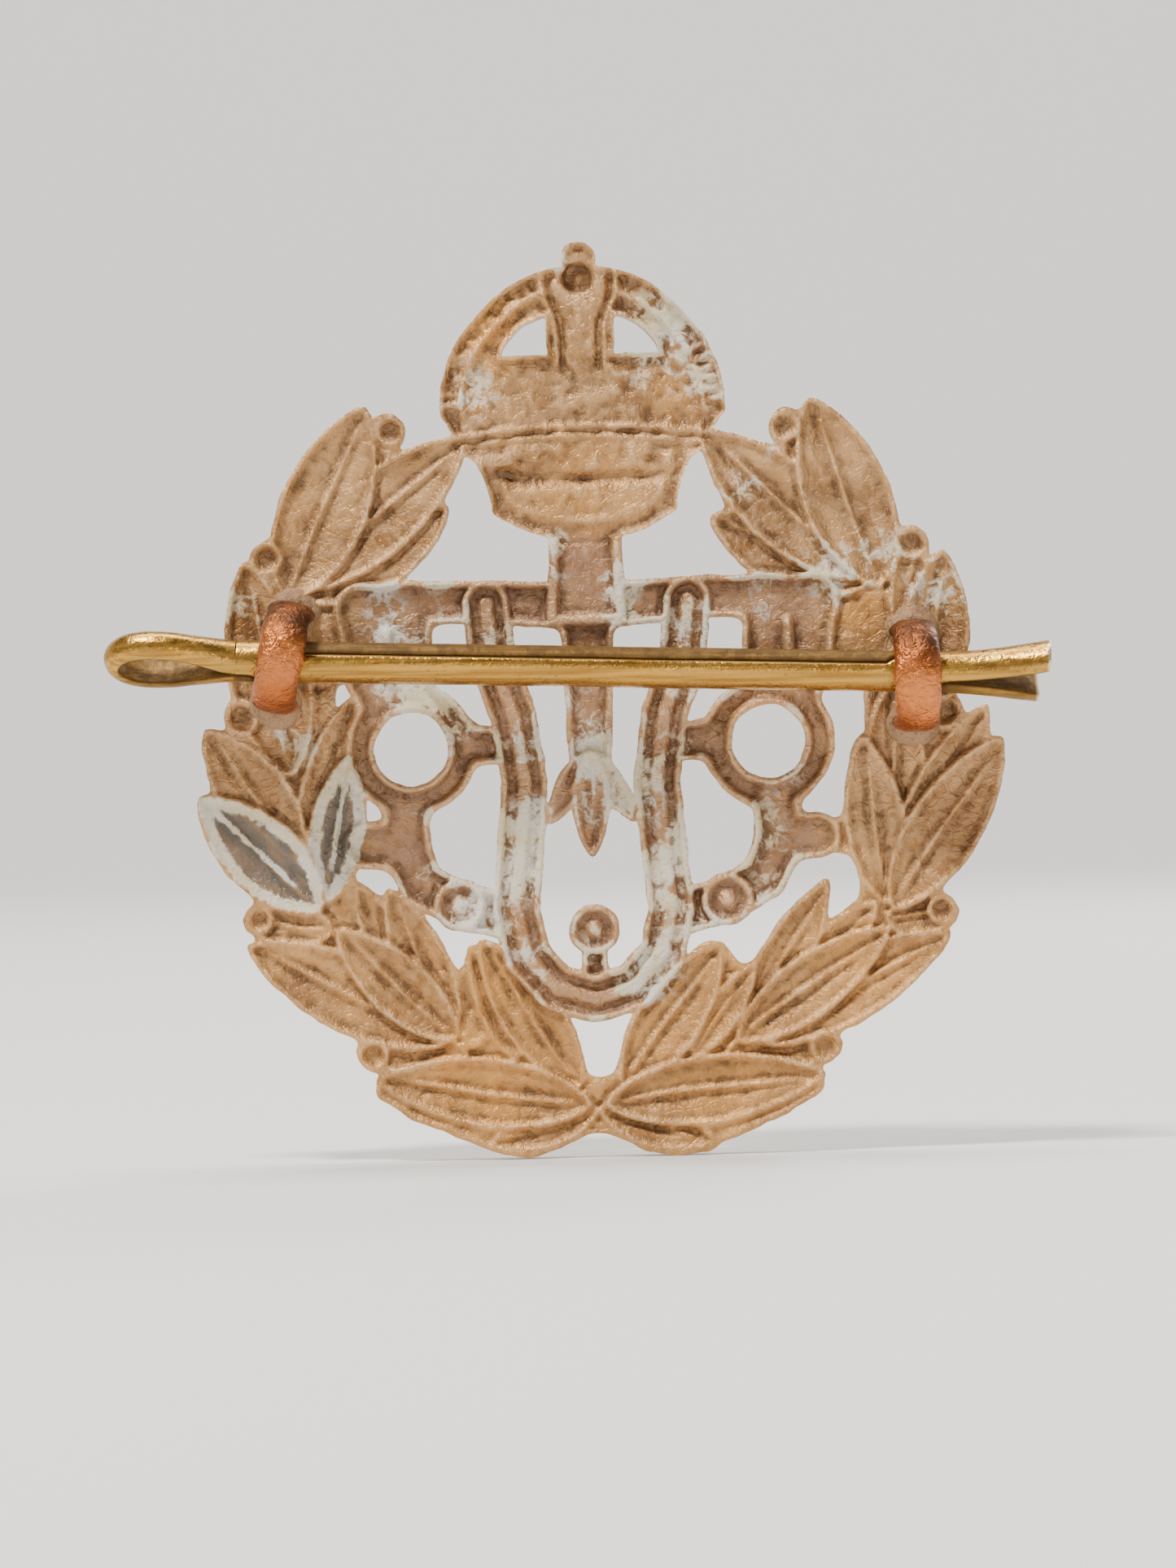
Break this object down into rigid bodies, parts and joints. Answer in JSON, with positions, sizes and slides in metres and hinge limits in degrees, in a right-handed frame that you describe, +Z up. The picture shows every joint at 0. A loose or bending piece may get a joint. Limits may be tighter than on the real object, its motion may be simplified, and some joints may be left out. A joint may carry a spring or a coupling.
{
  "type": "cap badge",
  "caption": "Struck brass cap badge with a crown, laurel wreath and pierced scrollwork, held on by two copper lugs and a sliding split pin.",
  "frame": {"origin": "midway between the two lugs, on the plane of the badge's back rim", "axes": "+X across the badge, +Z up as worn, -Y out of the back where the lugs stand, +Y the worn front"},
  "size_m": [0.0484, 0.0073, 0.0471],
  "materials": {
    "gilding_brass": "struck gilding metal, dull tan back with pale polish residue",
    "copper_wire": "bright worn copper wire, browned at the upper end",
    "solder": "dull grey soft solder",
    "pin_brass": "drawn yellow brass with brown tarnish"
  },
  "bodies": {
    "badge": {"crown": "gilding_brass", "scrollwork": "gilding_brass", "wreath_left": "gilding_brass", "wreath_right": "gilding_brass", "lug_left": "copper_wire", "lug_right": "copper_wire", "solder_left": "solder", "solder_right": "solder"},
    "split_pin": {"pin_eye": "pin_brass", "pin_near_leg": "pin_brass", "pin_far_leg": "pin_brass"},
    "near_leg_end": {"pin_near_tip": "pin_brass"},
    "far_leg_end": {"pin_far_tip": "pin_brass"}
  },
  "joints": [
    {"name": "pin_slide", "type": "slide", "parent": "badge", "child": "split_pin", "axis": [-0.9992, 0, 0.0401], "range_m": [0, 0.045]},
    {"name": "near_leg_bend", "type": "hinge", "parent": "split_pin", "child": "near_leg_end", "pos_m": [0.01828, -0.00215, -0.00093], "axis": [-0.0242, -0.7986, -0.6013], "range_deg": [-3, 24]},
    {"name": "far_leg_bend", "type": "hinge", "parent": "split_pin", "child": "far_leg_end", "pos_m": [0.01828, -0.00215, -0.00093], "axis": [0.0242, 0.7986, 0.6013], "range_deg": [-3, 12]}
  ]
}
